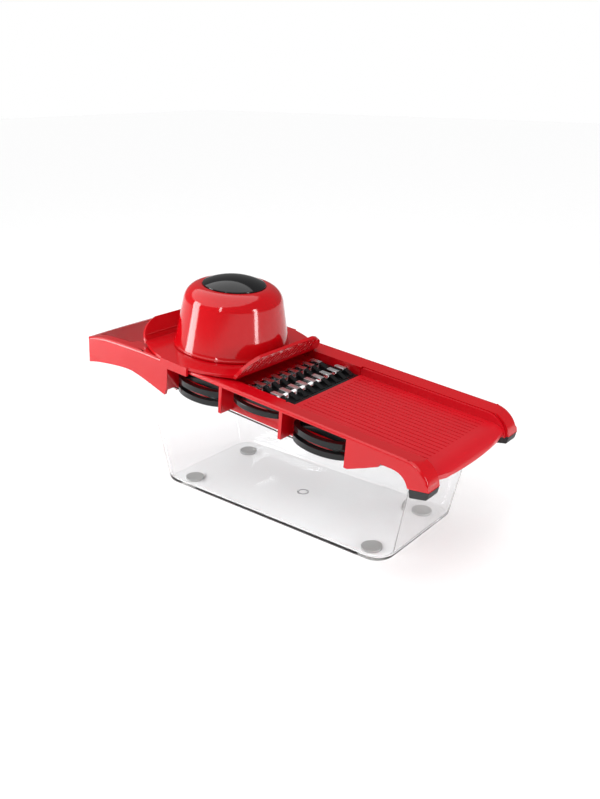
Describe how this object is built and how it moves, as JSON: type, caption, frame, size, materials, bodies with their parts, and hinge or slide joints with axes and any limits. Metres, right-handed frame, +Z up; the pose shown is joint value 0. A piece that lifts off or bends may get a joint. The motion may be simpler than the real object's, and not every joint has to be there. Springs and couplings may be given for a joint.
{
  "type": "mandoline slicer",
  "caption": "Kitchen slicer with side-loading blade inserts, a ridged feed ramp, a sliding hand guard with a plunger and a clear catch container.",
  "frame": {"origin": "on the table, at the middle of the overall footprint", "axes": "+X from the carrying handle end to the ramp foot end, +Y from the side that the inserts load from to the far side, +Z up"},
  "size_m": [0.353, 0.1376, 0.1799],
  "materials": {
    "red_plastic": "glossy moulded plastic",
    "black_plastic": "glossy moulded plastic",
    "black_rubber": "matt rubber",
    "grey_pad": "matt soft pad",
    "blade_steel": "polished stainless steel",
    "clear_plastic": "clear polished plastic"
  },
  "bodies": {
    "container": {"container_tub": "clear_plastic", "container_pad_front_left": "grey_pad", "container_pad_front_right": "grey_pad", "container_pad_back_left": "grey_pad", "container_pad_back_right": "grey_pad"},
    "slicer": {"slicer_frame": "red_plastic", "landing_plate": "red_plastic", "ramp_plate": "red_plastic", "foot_rubber_front": "black_rubber", "foot_rubber_back": "black_rubber"},
    "julienne_insert": {"julienne_insert_frame": "black_plastic", "julienne_insert_loop": "black_plastic", "julienne_wedges_left": "black_plastic", "julienne_wedges_right": "black_plastic", "julienne_blades_left": "blade_steel", "julienne_blades_right": "blade_steel"},
    "slicer_insert": {"slicer_insert_frame": "black_plastic", "slicer_plate": "blade_steel"},
    "coarse_grater_insert": {"coarse_grater_insert_frame": "black_plastic", "coarse_grater_plate": "blade_steel"},
    "fine_grater_insert": {"fine_grater_insert_frame": "black_plastic", "fine_grater_plate": "blade_steel"},
    "fine_julienne_insert": {"fine_julienne_insert_frame": "black_plastic", "fine_julienne_plate": "blade_steel"},
    "guard": {"guard_carriage": "red_plastic"},
    "plunger": {"guard_dome": "red_plastic", "guard_cap": "black_plastic", "pusher_stem": "red_plastic", "pusher_disc": "black_plastic", "pusher_screw": "blade_steel"}
  },
  "joints": [
    {"name": "slicer_lift", "type": "slide", "parent": "container", "child": "slicer", "axis": [0, 0, 1], "range_m": [0, 0.12]},
    {"name": "julienne_insert_slide", "type": "slide", "parent": "slicer", "child": "julienne_insert", "axis": [0, -1, 0], "range_m": [0, 0.105]},
    {"name": "slicer_insert_slide", "type": "slide", "parent": "slicer", "child": "slicer_insert", "axis": [0, -1, 0], "range_m": [0, 0.105]},
    {"name": "coarse_grater_insert_slide", "type": "slide", "parent": "slicer", "child": "coarse_grater_insert", "axis": [0, -1, 0], "range_m": [0, 0.105]},
    {"name": "fine_grater_insert_slide", "type": "slide", "parent": "slicer", "child": "fine_grater_insert", "axis": [0, -1, 0], "range_m": [0, 0.105]},
    {"name": "fine_julienne_insert_slide", "type": "slide", "parent": "slicer", "child": "fine_julienne_insert", "axis": [0, -1, 0], "range_m": [0, 0.105]},
    {"name": "guard_slide", "type": "slide", "parent": "slicer", "child": "guard", "axis": [0.9959, 0, -0.0906], "range_m": [-0.01, 0.155]},
    {"name": "plunger_lift", "type": "slide", "parent": "guard", "child": "plunger", "axis": [0.0906, 0, 0.9959], "range_m": [0, 0.018]}
  ]
}
